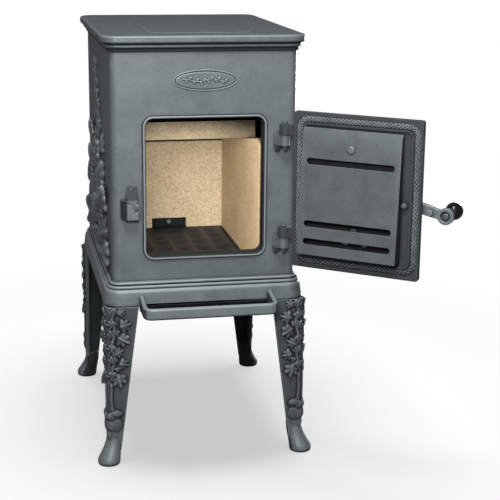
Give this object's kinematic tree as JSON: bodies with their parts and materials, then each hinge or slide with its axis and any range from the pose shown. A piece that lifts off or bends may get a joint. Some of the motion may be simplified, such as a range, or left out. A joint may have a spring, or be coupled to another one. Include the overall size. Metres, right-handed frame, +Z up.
{
  "type": "cast-iron wood stove",
  "caption": "Box-shaped cast-iron wood stove on tall splayed legs, with a hinged front door, a lever latch with a ball knob, a board-lined firebox and a rear flue spigot.",
  "frame": {"origin": "on the floor, under the middle of the stove's body, midway between the four feet", "axes": "+Z up, +X to the right as seen from the front, -Y out of the front of the stove"},
  "size_m": [0.6041, 0.705, 0.7513],
  "materials": {
    "cast_iron": "matt grey-green heat paint on fine-grained cast iron",
    "dark_iron": "bare dark cast iron",
    "steel": "dulled steel",
    "fire_board": "speckled beige fireproof board",
    "rope": "braided mineral-fibre rope",
    "knob": "smooth black heat-proof plastic"
  },
  "bodies": {
    "stove": {"top_plate": "cast_iron", "front_plate": "cast_iron", "left_side_plate": "cast_iron", "right_side_plate": "cast_iron", "back_plate": "cast_iron", "base_plate": "cast_iron", "leg_front_left": "cast_iron", "leg_front_right": "cast_iron", "leg_back_left": "cast_iron", "leg_back_right": "cast_iron", "leg_bolts": "steel", "leg_nuts": "steel", "tie_rods": "steel", "tie_rod_nuts": "steel", "badge_plate": "cast_iron", "door_catch": "cast_iron", "catch_screws": "steel", "hinge_pins": "steel", "hearth_plate": "dark_iron", "back_board": "fire_board", "left_board": "fire_board", "right_board": "fire_board", "baffle_board": "fire_board", "rear_air_cover": "dark_iron", "rear_air_bolt": "steel", "flue_collar": "cast_iron", "flue_bolts": "steel"},
    "door": {"door": "cast_iron", "door_rope_seal": "rope", "door_shield": "cast_iron", "shield_screw": "steel", "lever_pivot_bolt": "steel", "lever_pivot_nut": "steel"},
    "lever": {"latch_lever": "cast_iron", "knob_stem": "steel", "ball_knob": "knob"},
    "air_valve": {"air_disc": "cast_iron", "air_disc_knob": "steel", "air_disc_nut": "steel"},
    "lid": {"top_lid": "cast_iron"}
  },
  "joints": [
    {"name": "door_hinge", "type": "hinge", "parent": "stove", "child": "door", "pos_m": [0.136, -0.236, 0.49], "axis": [0, 0, 1], "range_deg": [-142, 8]},
    {"name": "latch_pivot", "type": "hinge", "parent": "door", "child": "lever", "pos_m": [0.31212, -0.3736, 0.483], "axis": [-0.6157, -0.788, 0], "range_deg": [-24, 40]},
    {"name": "air_valve_turn", "type": "hinge", "parent": "door", "child": "air_valve", "pos_m": [0.24238, -0.31911, 0.427], "axis": [0.6157, 0.788, 0], "range_deg": [0, 45]},
    {"name": "lid_lift", "type": "slide", "parent": "stove", "child": "lid", "axis": [0, 0, 1], "range_m": [0, 0.03]}
  ]
}
